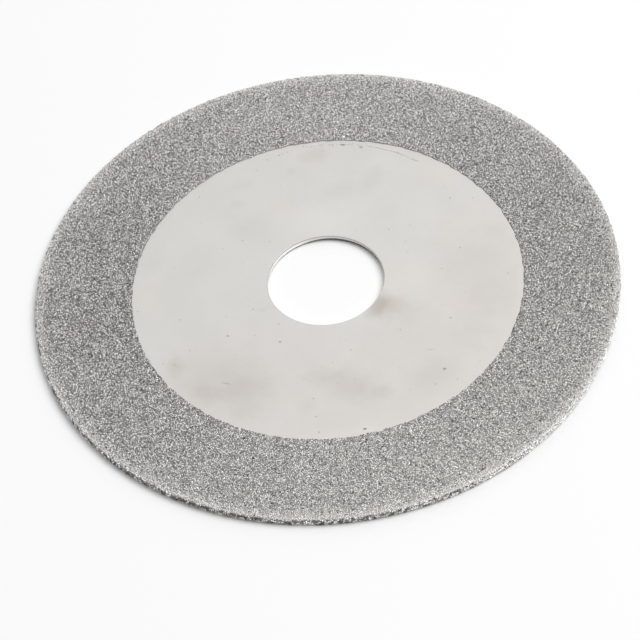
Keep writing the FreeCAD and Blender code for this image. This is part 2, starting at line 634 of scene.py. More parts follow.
@dataclass(frozen=True)
class ScribedArc:
    """The broken line that runs inside the coat's edge at the back, and the dots that carry it on.

    The angles are in degrees about the line's own centre, and the fades of the ends in radians.
    """

    centre: tuple[float, float] = (0.98, 5.44)
    radius: float = 26.35
    width: float = 0.10
    core: float = 0.3
    sway: float = 0.5
    sway_scale: float = 0.5
    start: float = 46.0
    end: float = 101.0
    end_fade: float = 0.02
    break_scale: float = 1.6
    break_roughness: float = 0.7
    first_break: float = 0.43
    last_break: float = 0.52
    break_fade: float = 0.06
    darkness: float = 0.6
    dot_spacing: float = 0.75
    dot_strip: float = 0.85
    dot_least: float = 0.08
    dot_growth: float = 0.22
    dot_rarest: float = 0.35
    dot_surest: float = 0.9
    dots_start: float = 62.0
    dots_end: float = 113.0
    dots_begin_fade: float = 0.2
    dots_end_fade: float = 0.1
    dot_darkness: float = 0.75

    def mask(self, sheet: NodeSheet, x: Feed, y: Feed) -> Socket:
        """Return how dark the line and its dots are at a flat place.

        Args:
            sheet: the finish's sheet.
            x: the place across the disc.
            y: the place along it.

        Returns:
            The mask, from 0 to 1.
        """
        place = sheet.joined(x, y)
        across = sheet.minus(x, self.centre[0])
        along = sheet.minus(y, self.centre[1])
        turn = sheet.math("ARCTAN2", along, across)
        sway = sheet.noise(place, self.sway_scale)
        path = sheet.linear(sway, self.sway, self.radius - 0.5 * self.sway)
        off = sheet.math("ABSOLUTE", sheet.minus(sheet.reach(across, along), path))
        line = sheet.rise(off, self.core * self.width, self.width, 1.0, 0.0)
        start, end = math.radians(self.start), math.radians(self.end)
        limit = sheet.rise(turn, start, end, self.first_break, self.last_break)
        broken = sheet.noise(place, self.break_scale, 3.0, self.break_roughness)
        dashes = sheet.rise(sheet.minus(broken, limit), 0.0, self.break_fade)
        span = self.span(sheet, turn, (self.start, self.end), (self.end_fade, self.end_fade))
        mask = sheet.times(sheet.times(line, dashes), sheet.times(span, self.darkness))
        return sheet.math("MAXIMUM", mask, self.dots(sheet, place, off, turn))

    def span(self, sheet: NodeSheet, turn: Feed, ends: tuple[float, float],
             fades: tuple[float, float]) -> Socket:
        """Return whether an angle lies in a span.

        Args:
            sheet: the finish's sheet.
            turn: the angle, in radians.
            ends: the span's start and end, in degrees.
            fades: how slowly it sets in and ends, in radians.

        Returns:
            The mask, from 0 to 1.
        """
        start, end = math.radians(ends[0]), math.radians(ends[1])
        begun = sheet.rise(turn, start, start + fades[0])
        return sheet.times(begun, sheet.rise(turn, end - fades[1], end, 1.0, 0.0))

    def dots(self, sheet: NodeSheet, place: Feed, off: Feed, turn: Feed) -> Socket:
        """Return how dark the dots are that carry the line on.

        Args:
            sheet: the finish's sheet.
            place: the flat place.
            off: how far it lies from the line.
            turn: the angle about the line's centre, in radians.

        Returns:
            The mask, from 0 to 1.
        """
        distance, chance, size = sheet.cells(place, self.dot_spacing)
        edge = sheet.linear(size, self.dot_growth, self.dot_least)
        depth = sheet.rise(chance, self.dot_rarest, self.dot_surest)
        dot = sheet.rise(distance, sheet.times(edge, self.core), edge, depth, 0.0)
        strip = sheet.rise(off, self.core * self.dot_strip, self.dot_strip, 1.0, 0.0)
        fades = (self.dots_begin_fade, self.dots_end_fade)
        span = self.span(sheet, turn, (self.dots_start, self.dots_end), fades)
        return sheet.times(sheet.times(dot, strip), sheet.times(span, self.dot_darkness))


@dataclass(frozen=True)
class BoreWall:
    """The bore's wall, in painted light and shade: a painted highlight on the side toward the lamp,
    painted shade on its far side, a dull, worn edge above that is rougher and painted darker for
    the dim reflection it shows, and a rough burr below, painted near black on the shaded side as
    the shadow of the gap under the blank.

    The turns are in degrees, and each cosine says how far round from its turn an effect reaches.
    """

    colour: Colour = (0.78, 0.775, 0.76)
    # Painted highlight on the wall toward the lamp, and painted shade on its far side.
    lit: Colour = (0.97, 0.97, 0.96)
    shaded: Colour = (0.67, 0.66, 0.645)
    # The edge above, painted darker for its dim reflection, in lit and shaded copies.
    edge_lit: Colour = (0.47, 0.46, 0.445)
    edge_shaded: Colour = (0.45, 0.44, 0.425)
    # The burr below: near black on the shaded side, a painted shadow of the gap under the blank.
    burr_lit_side: Colour = (0.72, 0.71, 0.70)
    burr_painted_shadow: Colour = (0.03, 0.028, 0.026)
    roughness: float = 0.24
    edge_roughness: float = 0.55
    shaded_turn: float = 56.0
    shaded_cosine: float = 0.45
    lit_turn: float = 130.0
    lit_cosine: float = 0.84
    width: float = 0.13
    width_fade: float = 0.03
    top_inset: float = 0.06
    shaded_inset: float = 0.10
    top_fade: float = 0.04
    edge_depth: float = 0.34
    edge_fade: float = 0.08
    burr_and_shadow_height: float = 0.08
    # The painted shadow climbs higher up the wall on the shaded side.
    painted_shadow_rise: float = 0.18
    burr_and_shadow_fade: float = 0.08

    def facing(self, sheet: NodeSheet, shares: Feed, turn: float, start: float) -> Socket:
        """Return how near a part of the wall lies to a turn, from a start of the cosine up to 1."""
        toward = (math.cos(math.radians(turn)), math.sin(math.radians(turn)), 0.0)
        return sheet.rise(sheet.vector("DOT_PRODUCT", shares, toward), start, 1.0)

    def laid_over(self, sheet: NodeSheet, sizes: DiscSizes, place: Feed, colour: Feed,
                  roughness: Feed) -> tuple[Socket, Socket]:
        """Lay the wall, with its painted highlight and shade, over the face's colour and roughness.

        Args:
            sheet: the finish's sheet.
            sizes: the disc's sizes.
            place: the place, in millimetres.
            colour: the face's colour.
            roughness: the face's roughness.

        Returns:
            The colour and the roughness of face and wall.
        """
        x, y, z = sheet.parts(place)
        top = sizes.steel_top * PER_MM
        bore = sizes.bore_radius * PER_MM
        shares = sheet.scaled(sheet.joined(x, y), 1.0 / bore)
        # How far each part of the wall lies toward the far side and toward the lamp, for the painted shade
        # and highlight.
        shaded = self.facing(sheet, shares, self.shaded_turn, self.shaded_cosine)
        highlight_side = self.facing(sheet, shares, self.lit_turn, self.lit_cosine)
        end = bore + self.width
        near = sheet.rise(sheet.reach(x, y), end - self.width_fade, end, 1.0, 0.0)
        limit = sheet.linear(shaded, -self.shaded_inset, top - self.top_inset)
        below = sheet.rise(z, limit, sheet.plus(limit, self.top_fade), 1.0, 0.0)
        within = sheet.times(near, below)
        edge = sheet.rise(z, top - self.edge_depth, top - self.edge_depth + self.edge_fade)
        # The burr zone, painted as the shadow of the gap on the shaded side, reaches higher there.
        burr_and_shadow_end = sheet.linear(shaded, self.painted_shadow_rise, self.burr_and_shadow_height - top)
        burr_and_shadow = sheet.rise(z, burr_and_shadow_end, sheet.plus(burr_and_shadow_end, self.burr_and_shadow_fade), 1.0, 0.0)
        # Painted highlight and shade on the wall, then on the edge and the burr.
        tone = sheet.blend(highlight_side, sheet.blend(shaded, self.colour, self.shaded), self.lit)
        tone = sheet.blend(edge, tone, sheet.blend(shaded, self.edge_lit, self.edge_shaded))
        tone = sheet.blend(burr_and_shadow, tone, sheet.blend(shaded, self.burr_lit_side, self.burr_painted_shadow))
        dulled = sheet.mixed(sheet.math("MAXIMUM", edge, burr_and_shadow), self.roughness, self.edge_roughness)
        return sheet.blend(within, colour, tone), sheet.mixed(within, roughness, dulled)


@dataclass(frozen=True)
class SteelFinish(Finish):
    """Ground sheet steel with a satin face, handled and stained."""

    name: str = "satin_steel"
    colour: Colour = (0.625, 0.612, 0.591)
    satin_low: Colour = (0.925, 0.925, 0.925)
    satin_high: Colour = (1.075, 1.075, 1.075)
    satin_fineness: float = 3.2
    roughness: float = 0.42
    satin_roughness: float = 0.10
    stain_roughness: float = 0.25
    bump_strength: float = 0.12
    bump_depth: float = 0.02
    face_start: float = 0.03
    face_end: float = 0.01
    pits: Pits = Pits()
    arc: ScribedArc = ScribedArc()
    bore: BoreWall = BoreWall()

    def stained(self, sheet: NodeSheet, flat_place: Feed, on_top: Feed, colour: Feed) -> tuple[Socket, Feed]:
        """Lay the smudges, stains, scratches and broad darkenings over the face.

        Args:
            sheet: the finish's sheet.
            flat_place: the place without its height, in millimetres.
            on_top: 1 on the upper face, and 0 elsewhere.
            colour: the face's colour.

        Returns:
            The colour with the marks, and the sum of their weights.
        """
        weights: Feed = 0.0
        for mark in STEEL_MARKS:
            spot = SOFT_SPOT.use(sheet, {
                "Place": flat_place,
                "Centre": (*mark.centre, 0.0),
                "Reach": (*mark.reach, 1.0),
                "Turn": math.radians(-mark.turn),
                "Raggedness": mark.raggedness,
            })
            weight = sheet.times(sheet.times(spot.outputs["Mask"], on_top), mark.strength)
            colour = sheet.blend(weight, colour, mark.colour)
            weights = sheet.plus(weights, weight)
        return colour, weights

    def material(self, sizes: DiscSizes) -> Material:
        """Build the finish.

        Args:
            sizes: the disc's sizes.

        Returns:
            The material of the steel blank.
        """
        material, sheet, shader = self.started()
        place = sheet.place_in_mm()
        x, y, z = sheet.parts(place)
        flat_place = sheet.joined(x, y)
        top = sizes.steel_top * PER_MM
        on_top = sheet.rise(z, top - self.face_start, top - self.face_end)
        satin = SATIN_GRAIN.use(sheet, {"Place": place, "Fineness": self.satin_fineness}).outputs
        colour = sheet.blend(satin["Tone"], self.satin_low, self.satin_high)
        colour = sheet.blend(1.0, self.colour, colour, "MULTIPLY")
        colour, weights = self.stained(sheet, flat_place, on_top, colour)
        for mask in (self.pits.mask(sheet, flat_place), self.arc.mask(sheet, x, y)):
            colour = sheet.blend(sheet.times(mask, on_top), colour, DARK)
        shine = sheet.linear(sheet.minus(satin["Tone"], 0.5), self.satin_roughness, self.roughness)
        roughness = sheet.linear(weights, self.stain_roughness, shine)
        colour, roughness = self.bore.laid_over(sheet, sizes, place, colour, roughness)
        sheet.feed(shader.inputs["Base Color"], colour)
        sheet.feed(shader.inputs["Roughness"], roughness)
        sheet.feed(shader.inputs["Metallic"], 1.0)
        sheet.bump(shader, self.bump_strength, self.bump_depth, satin["Height"])
        return material


@dataclass(frozen=True)
class NickelFinish(Finish):
    """Plated nickel between the grains, dull and a little nodular, its colour darkened as painted shade in
    the gaps between the grains.
    """

    name: str = "plated_nickel"
    # Darker than bare nickel: painted shade in the gaps between the grains.
    colour: Colour = (0.238, 0.231, 0.224)
    fineness: float = 5.0
    noise_low: float = 0.3
    noise_high: float = 0.7
    darkest: float = 0.75
    lightest: float = 1.25
    smoothest: float = 0.40
    roughest: float = 0.58
    bump_strength: float = 0.6
    bump_depth: float = 0.04

    def material(self, sizes: DiscSizes) -> Material:
        """Build the finish.

        Args:
            sizes: the disc's sizes.

        Returns:
            The material of the plated skin.
        """
        material, sheet, shader = self.started()
        place = sheet.place_in_mm()
        shade = BAND_SHADE.over(sheet, place, sizes)
        nodules = SATIN_GRAIN.use(sheet, {"Place": place, "Fineness": self.fineness}).outputs
        low, high = self.noise_low, self.noise_high
        tone = sheet.rise(nodules["Height"], low, high, self.darkest, self.lightest)
        # The band's gain brings in its painted shade on the rim wall and its painted light towards the lamp.
        tone = sheet.times(shade["Gain"], tone)
        colour = sheet.blend(1.0, self.colour, sheet.joined(tone, tone, tone), "MULTIPLY")
        roughness = sheet.rise(nodules["Tone"], low, high, self.smoothest, self.roughest)
        sheet.feed(shader.inputs["Base Color"], colour)
        sheet.feed(shader.inputs["Roughness"], roughness)
        sheet.feed(shader.inputs["Metallic"], 1.0)
        sheet.bump(shader, self.bump_strength, self.bump_depth, nodules["Height"])
        return material


@dataclass(frozen=True)
class DiamondFinish(Finish):
    """Synthetic diamond grains in greys, some rosy or straw-coloured, with dark facets and painted glints.

    The shades are grey levels by tone. Painted sparkles and near-black grains are given by their share of
    all.
    """

    name: str = "diamond_grains"
    shades: tuple[tuple[float, float], ...] = (
        (0.0, 0.01), (0.30, 0.03), (0.42, 0.12), (0.53, 0.50), (0.62, 0.97), (0.76, 1.0),
    )
    grain_share: float = 0.4
    even_gain: float = 0.585
    gain_to_tone: float = 0.25
    rosy: Colour = (1.015, 0.99, 0.99)
    straw: Colour = (1.012, 0.999, 0.95)
    hue_start: float = 0.1
    hue_end: float = 0.9
    refraction: float = 1.6
    smoothest: float = 0.25
    roughest: float = 0.5
    # Painted glints: facets and whole grains painted near white and made mirror-like.
    glint_colour: Colour = (0.98, 0.98, 0.97)
    glint_mirror: float = 0.9
    glint_fade: float = 0.02
    sparkles: float = 0.014
    dark_grains: float = 0.012
    dark_colour: Colour = (0.02, 0.02, 0.019)
    share_fade: float = 0.2
    clump_scale: float = 1.35
    clump_low: float = 0.35
    clump_high: float = 0.65
    clump_depth: float = 0.9
    clump_share: float = 0.8
    flaw_scale: float = 14.0
    bump_strength: float = 0.3
    bump_depth: float = 0.02

    def shaded(self, sheet: NodeSheet, tone: Feed) -> Socket:
        """Return the grey of a tone.

        Args:
            sheet: the finish's sheet.
            tone: the tone, from 0 to 1.

        Returns:
            The grey, as a colour.
        """
        ramp = sheet.add("ShaderNodeValToRGB", {"Fac": tone})
        stops = ramp.color_ramp.elements
        while len(stops) < len(self.shades):
            stops.new(1.0)
        for stop, (position, level) in zip(stops, self.shades):
            stop.position = position
            stop.color = (level, level, level, 1.0)
        return ramp.outputs["Color"]

    def material(self, sizes: DiscSizes) -> Material:
        """Build the finish.

        Args:
            sizes: the disc's sizes.

        Returns:
            The material of the grains.
        """
        material, sheet, shader = self.started()
        place = sheet.place_in_mm()
        grain, facet, tint = sheet.number(TONE), sheet.number(FACET), sheet.number(TINT)
        shade = BAND_SHADE.over(sheet, place, sizes)
        less, more = 1.0 - self.share_fade, 1.0 + self.share_fade
        clumps = sheet.noise(place, self.clump_scale, detail=1.0)
        clumps = sheet.rise(clumps, self.clump_low, self.clump_high)
        tone = sheet.mixed(self.grain_share, facet, grain)
        # The band's gain brings in its painted shade on the rim wall and its painted light towards the lamp.
        tone = sheet.linear(sheet.minus(shade["Gain"], self.even_gain), self.gain_to_tone, tone)
        clump_sway = sheet.times(sheet.minus(clumps, 0.5), self.clump_depth)
        tone = sheet.linear(shade["Wall"], clump_sway, tone)
        warm = sheet.plus(tint, shade["Warmth"])
        hue = sheet.blend(sheet.rise(warm, self.hue_start, self.hue_end), self.rosy, self.straw)
        colour = sheet.blend(1.0, self.shaded(sheet, tone), hue, "MULTIPLY")
        # Painted glints: chosen facets, bright clumps on the rim wall and a few whole grains turn near
        # white.
        chance = sheet.mixed(shade["Wall"], facet, sheet.mixed(self.clump_share, grain, clumps))
        bar = sheet.minus(1.0, shade["Glints"])
        glint = sheet.rise(chance, bar, sheet.plus(bar, self.glint_fade))
        sparkle = sheet.rise(grain, 1.0 - more * self.sparkles, 1.0 - less * self.sparkles)
        glint = sheet.math("MAXIMUM", glint, sparkle)
        # A few grains are painted near black.
        near_black = sheet.rise(tint, less * self.dark_grains, more * self.dark_grains, 1.0, 0.0)
        colour = sheet.blend(near_black, colour, self.dark_colour)
        colour = sheet.blend(glint, colour, self.glint_colour)
        sheet.feed(shader.inputs["Base Color"], colour)
        sheet.feed(shader.inputs["Metallic"], sheet.times(glint, self.glint_mirror))
        sheet.feed(shader.inputs["Roughness"], sheet.rise(facet, 0.0, 1.0, self.smoothest, self.roughest))
        sheet.feed(shader.inputs["IOR"], self.refraction)
        sheet.bump(shader, self.bump_strength, self.bump_depth, sheet.noise(place, self.flaw_scale))
        return material


@dataclass
class RingSheet:
    """A surface of rings, some about the mask's centre and some about the bore's axis.

    Rings about the mask's centre wave like its ragged edge. Each wave is given by how many times it
    swings in one turn, and by how far.
    """

    name: str
    sizes: DiscSizes
    segments: int = 360
    mask_waves: tuple[tuple[int, float], ...] = (
        (7, 0.015 * MM), (19, 0.02 * MM), (43, 0.04 * MM), (71, 0.05 * MM), (104, 0.05 * MM),
    )

    def point(self, ring: Ring, turn: float) -> tuple[float, float, float]:
        """Return a ring's point.

        Args:
            ring: whether it lies about the axis or the mask's centre, its radius and its height.
            turn: the angle about that centre.

        Returns:
            The point, in metres.
        """
        share, radius, height = ring
        if share > ABOUT_AXIS:
            radius += sum(depth * math.sin(count * turn + count) for count, depth in self.mask_waves)
        x = share * self.sizes.mask_x + radius * math.cos(turn)
        y = share * self.sizes.mask_y + radius * math.sin(turn)
        return (x, y, height)

    def build(self, rings: Sequence[Ring], closed: bool, smooth: bool) -> Piece:
        """Build the surface through the rings.

        Args:
            rings: the rings in order, so that the outside lies to the left of the way they go.
            closed: whether the last ring joins the first.
            smooth: whether the faces are shaded as one surface.

        Returns:
            The object of the surface, at the origin.
        """
        mesh = bmesh.new()
        turns = [math.tau * i / self.segments for i in range(self.segments)]
        rows = [[mesh.verts.new(self.point(ring, turn)) for turn in turns] for ring in rings]
        following = rows[1:] + rows[:1] if closed else rows[1:]
        for low, high in zip(rows, following):
            for i in range(self.segments):
                j = (i + 1) % self.segments
                face = mesh.faces.new((low[i], high[i], high[j], low[j]))
                face.smooth = smooth
        data = bpy.data.meshes.new(self.name)
        mesh.to_mesh(data)
        mesh.free()
        return placed(self.name, data)


@dataclass
class SteelBlank:
    """The flat steel blank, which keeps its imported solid."""

    sizes: DiscSizes
    finish: SteelFinish = SteelFinish()

    def dress(self, nodes: dict[str, Piece]) -> Piece:
        """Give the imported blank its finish.

        Args:
            nodes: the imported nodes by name.

        Returns:
            The blank.
        """
        blank = nodes[STEEL_NODE]
        blank.data.materials.clear()
        blank.data.materials.append(self.finish.material(self.sizes))
        return blank


@dataclass
class DiamondCoat:
    """The plated coat: a nickel skin, and the diamond grains that stand in it.

    The lip profile gives the skin's inner edge as shares of the lip outwards and of the skin upwards.
    Each tier of a crystal's corners gives its turn, its least and greatest reach, and its heights.
    """

    sizes: DiscSizes
    skin_depth: float = 0.135 * MM
    mask_lip: float = 0.1 * MM
    lip_profile: tuple[tuple[float, float], ...] = ((0.0, 0.0), (0.3, 0.6), (1.0, 1.0), (2.0, 1.0))
    grain_lowest: float = 0.170 * MM
    grain_highest: float = 0.245 * MM
    grain_width: float = 1.65
    grain_spacing: float = 0.210 * MM
    rim_spacing: float = 0.215 * MM
    tries_per_mm2: float = 70.0
    crystal_kinds: int = 14
    crystal_tiers: tuple[tuple[float, ...], ...] = (
        (0.0, 0.40, 0.80, 0.72, 1.0), (0.5, 0.80, 1.05, 0.0, 0.45),
    )
    corner_sway: float = 0.35
    face_sectors: int = 3
    rim_strips: int = 8
    corner_steps: int = 6
    rim_share: float = 45.0
    seam: float = 0.1
    map_margin: float = 1.0 * MM
    face_fill: float = 0.99
    strip_fill: float = 0.97
    lean_fill: float = 0.9
    seed: int = 23
    seed_step: int = 10
    nickel: NickelFinish = NickelFinish()
    diamond: DiamondFinish = DiamondFinish()

    def corner_rings(self, reach: float, start: float, end: float) -> list[Ring]:
        """Return the rings of a rounded corner.

        Args:
            reach: the corner's radius, in metres.
            start: the first angle above the mid-plane, in degrees.
            end: the last angle, in degrees.

        Returns:
            The rings from start to end, both included.
        """
        rings = []
        side = 1.0 if start + end > 0.0 else -1.0
        centre_radius = self.sizes.disc_radius - self.sizes.corner
        centre_height = side * (self.sizes.grit_top - self.sizes.corner)
        for i in range(self.corner_steps + 1):
            angle = math.radians(start + (end - start) * i / self.corner_steps)
            radius = centre_radius + reach * math.cos(angle)
            rings.append((ABOUT_AXIS, radius, centre_height + reach * math.sin(angle)))
        return rings

    def mirrored(self, rings: Sequence[Ring]) -> list[Ring]:
        """Return the rings below the mid-plane, in the order that keeps their outside outside."""
        return [(share, radius, -height) for share, radius, height in reversed(rings)]

    def nickel_skin(self) -> Piece:
        """Build the nickel skin, one closed shell round the blank's rim, and return it."""
        sizes = self.sizes
        height = sizes.coat - self.skin_depth
        upper: list[Ring] = [
            (ABOUT_MASK, sizes.bare_radius + out * self.mask_lip, sizes.steel_top + up * height)
            for out, up in self.lip_profile
        ]
        flat_end = sizes.disc_radius - sizes.corner - self.mask_lip
        upper.append((ABOUT_AXIS, flat_end, sizes.steel_top + height))
        upper += self.corner_rings(sizes.corner - self.skin_depth, UPRIGHT, 0.0)
        seat = sizes.corner - sizes.coat
        inner = self.corner_rings(seat, -UPRIGHT, 0.0)[:: self.corner_steps]
        inner += self.corner_rings(seat, self.seam, UPRIGHT)[:: self.corner_steps]
        rings = upper + self.mirrored(upper) + inner
        skin = RingSheet("nickel_skin", sizes).build(rings, closed=True, smooth=True)
        skin.data.materials.append(self.nickel.material(sizes))
        return skin

    def crystal_corners(self, draw: random.Random) -> list[Vector]:
        """Return the six corners of one crystal: three round its top facet, three wider below.

        Args:
            draw: where its chances come from.

        Returns:
            The corners, of a crystal about two units across and one unit tall.
        """
        corners = []
        start = draw.uniform(0.0, math.tau)
        for low, nearest, widest, bottom, top in self.crystal_tiers:
            for third in range(3):
                sway = draw.uniform(-self.corner_sway, self.corner_sway)
                turn = start + math.tau * (third + low) / 3.0 + sway
                reach = draw.uniform(nearest, widest)
                height = draw.uniform(bottom, top)
                corners.append(Vector((reach * math.cos(turn), reach * math.sin(turn), height)))
        return corners

    def crystals(self) -> bpy.types.Collection:
        """Build the kinds of crystal that the grains are picked from.

        Each is a lopsided octahedron of eight facets, one unit tall, that stands on the origin.

        Returns:
            A collection of the crystals, kept out of the scene.
        """
        draw = random.Random(self.seed)
        stock = bpy.data.collections.new("crystal_stock")
        for kind in range(self.crystal_kinds):
            corners = self.crystal_corners(draw)
            low = min(c.z for c in corners)
            tall = max(c.z for c in corners) - low
            across = 0.5 * self.grain_width / max(c.xy.length for c in corners)
            mesh = bmesh.new()
            for c in corners:
                mesh.verts.new((c.x * across, c.y * across, (c.z - low) / tall))
            bmesh.ops.convex_hull(mesh, input=mesh.verts)
            bmesh.ops.recalc_face_normals(mesh, faces=mesh.faces)
            data = bpy.data.meshes.new(f"crystal_{kind:02d}")
            mesh.to_mesh(data)
            mesh.free()
            stock.objects.link(bpy.data.objects.new(data.name, data))
        return stock

    def bed(self, zone: Zone) -> Piece:
        """Build the surface that a zone's grains stand on.

        Args:
            zone: which of the three beds.

        Returns:
            The bed, facing outwards.
        """
        sizes = self.sizes
        reach = sizes.corner - sizes.coat
        if zone is Zone.RIM:
            rings = self.corner_rings(reach, self.rim_share, 0.0)
            rings += self.corner_rings(reach, -self.seam, -self.rim_share)
        else:
            rings = [(ABOUT_MASK, sizes.bare_radius + self.mask_lip, sizes.steel_top)]
            rings += self.corner_rings(reach, UPRIGHT, self.rim_share)
        if zone is Zone.LOWER_FACE:
            rings = self.mirrored(rings)
        return RingSheet(zone.value, sizes).build(rings, closed=False, smooth=False)

    def grain_tree(self, zone: Zone, material: Material) -> Tree:
        """Wire the tree that plants a zone's grains.

        Args:
            zone: which bed the tree is for.
            material: the grains' finish.

        Returns:
            The geometry tree, with named inputs for its sizes.
        """
        inputs = {"Bed": "NodeSocketGeometry", "Crystals": "NodeSocketCollection"}
        inputs.update({name: NUMBER for name in ("Spacing", "Tries", "Lowest", "Highest")})
        inputs.update({name: WHOLE for name in ("Sector", "Sectors", "Seed")})
        outputs = {"Grains": "NodeSocketGeometry"}
        sheet = NodeSheet.group(f"plant_{zone.value}", "GeometryNodeTree", inputs, outputs)
        given = sheet.add("NodeGroupInput").outputs
        seed = given["Seed"]
        planted = sheet.add("GeometryNodeDistributePointsOnFaces", {
            "Mesh": given["Bed"],
            "Distance Min": given["Spacing"],
            "Density Max": given["Tries"],
            "Seed": seed,
        }, distribute_method="POISSON").outputs
        turn = self.turn_of(sheet, self.place(sheet))
        sector = sheet.math("FLOOR", sheet.times(turn, given["Sectors"]))
        away = sheet.math("ABSOLUTE", sheet.minus(sector, given["Sector"]))
        kept = sheet.add("GeometryNodeDeleteGeometry", {
            "Geometry": planted["Points"], "Selection": sheet.math("GREATER_THAN", away, 0.5),
        }, domain="POINT").outputs[0]
        spin = sheet.joined(0.0, 0.0, self.drawn(sheet, seed, Draw.SPIN, 0.0, math.tau))
        spin = sheet.add("FunctionNodeEulerToRotation", {0: spin}).outputs[0]
        rotation = {0: planted["Rotation"], 1: spin}
        rotation = sheet.add("FunctionNodeRotateRotation", rotation, rotation_space="LOCAL").outputs[0]
        kind = {4: 0, 5: self.crystal_kinds - 1, "Seed": sheet.plus(seed, Draw.KIND.value)}
        kind = sheet.add("FunctionNodeRandomValue", kind, data_type="INT").outputs[2]
        stock = sheet.add("GeometryNodeCollectionInfo", {
            "Collection": given["Crystals"], "Separate Children": True, "Reset Children": True,
        }).outputs[0]
        grains = sheet.add("GeometryNodeInstanceOnPoints", {
            "Points": kept,
            "Instance": stock,
            "Pick Instance": True,
            "Instance Index": kind,
            "Rotation": rotation,
            "Scale": self.drawn(sheet, seed, Draw.SIZE, given["Lowest"], given["Highest"]),
        }).outputs[0]
        tone, tint = (self.drawn(sheet, seed, draw, 0.0, 1.0) for draw in (Draw.TONE, Draw.TINT))
        for name, value in ((TONE, tone), (TINT, tint), (TURN, turn)):
            grains = self.stored(sheet, grains, name, value, "INSTANCE")
        grains = sheet.add("GeometryNodeRealizeInstances", {"Geometry": grains}).outputs[0]
        grains = self.kept_inside(sheet, grains)
        facet = self.drawn(sheet, seed, Draw.FACET, 0.0, 1.0)
        grains = self.stored(sheet, grains, FACET, facet, "FACE")
        bake_map = self.rim_map(sheet) if zone is Zone.RIM else self.face_map(sheet, given)
        grains = self.stored(sheet, grains, BAKE_MAP, bake_map, "CORNER", "FLOAT2")
        finished = sheet.add("GeometryNodeSetMaterial", {"Geometry": grains, "Material": material})
        sheet.add("NodeGroupOutput", {0: finished.outputs[0]})
        return sheet.tree

    def place(self, sheet: NodeSheet) -> Socket:
        """Return the place that a geometry tree is looking at."""
        return sheet.add("GeometryNodeInputPosition").outputs[0]

    def drawn(self, sheet: NodeSheet, seed: Feed, draw: Draw, low: Feed, high: Feed) -> Socket:
        """Return a random number for each grain, from the tree's seed and the draw's own number."""
        inputs = {2: low, 3: high, "Seed": sheet.plus(seed, draw.value)}
        return sheet.add("FunctionNodeRandomValue", inputs, data_type="FLOAT").outputs[1]

    def stored(self, sheet: NodeSheet, geometry: Feed, name: str, value: Feed, domain: str,
               kind: str = "FLOAT") -> Socket:
        """Return the geometry with a value stored on it under a name."""
        inputs = {"Geometry": geometry, "Name": name, "Value": value}
        return sheet.add("GeometryNodeStoreNamedAttribute", inputs, data_type=kind, domain=domain).outputs[0]

    def kept_inside(self, sheet: NodeSheet, grains: Feed) -> Socket:
        """Keep every tip of the grains within the disc's thickness and its rim.

        Args:
            sheet: the geometry tree's sheet.
            grains: the grains as real faces.

        Returns:
            The grains.
        """
        x, y, z = sheet.parts(self.place(sheet))
        top = self.sizes.grit_top
        level = sheet.math("MAXIMUM", sheet.math("MINIMUM", z, top), -top)
        share = sheet.math("MINIMUM", sheet.over(self.sizes.disc_radius, sheet.reach(x, y)), 1.0)
        held = sheet.joined(sheet.times(x, share), sheet.times(y, share), level)
        return sheet.add("GeometryNodeSetPosition", {"Geometry": grains, "Position": held}).outputs[0]

    def turn_of(self, sheet: NodeSheet, place: Feed) -> Socket:
        """Return how far round the disc a place lies, from 0 to 1."""
        x, y, _ = sheet.parts(place)
        return sheet.math("FRACT", sheet.plus(sheet.over(sheet.math("ARCTAN2", y, x), math.tau), 1.0))

    def round_from(self, sheet: NodeSheet, place: Feed, start: Feed) -> Socket:
        """Return how far round from a start a place lies, from -0.5 to 0.5 of a turn."""
        x, y, _ = sheet.parts(sheet.turned(place, sheet.times(start, -math.tau)))
        return sheet.over(sheet.math("ARCTAN2", y, x), math.tau)

    def face_map(self, sheet: NodeSheet, given: Any) -> Socket:
        """Map a sector of a face flat: round the disc across, and outwards up.

        Args:
            sheet: the geometry tree's sheet.
            given: the tree's inputs.

        Returns:
            The place on the map.
        """
        place = self.place(sheet)
        x, y, _ = sheet.parts(place)
        middle = sheet.over(sheet.plus(given["Sector"], 0.5), given["Sectors"])
        across = sheet.times(self.round_from(sheet, place, middle), given["Sectors"])
        inside = self.sizes.bare_radius - self.map_margin
        outwards = sheet.over(sheet.minus(sheet.reach(x, y), inside), self.sizes.disc_radius - inside)
        return sheet.joined(sheet.linear(across, self.face_fill, 0.5), outwards)

    def rim_map(self, sheet: NodeSheet) -> Socket:
        """Map the rim in strips round the disc, one above the other.

        Args:
            sheet: the geometry tree's sheet.

        Returns:
            The place on the map.
        """
        place = self.place(sheet)
        turn = sheet.add("GeometryNodeInputNamedAttribute", {"Name": TURN}, data_type="FLOAT").outputs[0]
        strips = float(self.rim_strips)
        strip = sheet.math("FLOOR", sheet.times(turn, strips))
        middle = sheet.over(sheet.plus(strip, 0.5), strips)
        across = sheet.times(self.round_from(sheet, place, middle), strips)
        x, y, z = sheet.parts(place)
        inside = self.sizes.disc_radius - 2.0 * self.sizes.corner
        lean = sheet.math("ARCTAN2", z, sheet.minus(sheet.reach(x, y), inside))
        upwards = sheet.linear(lean, self.lean_fill * 2.0 / math.pi, 0.5)
        upwards = sheet.over(sheet.plus(strip, upwards), strips)
        return sheet.joined(sheet.linear(across, self.strip_fill, 0.5), upwards)

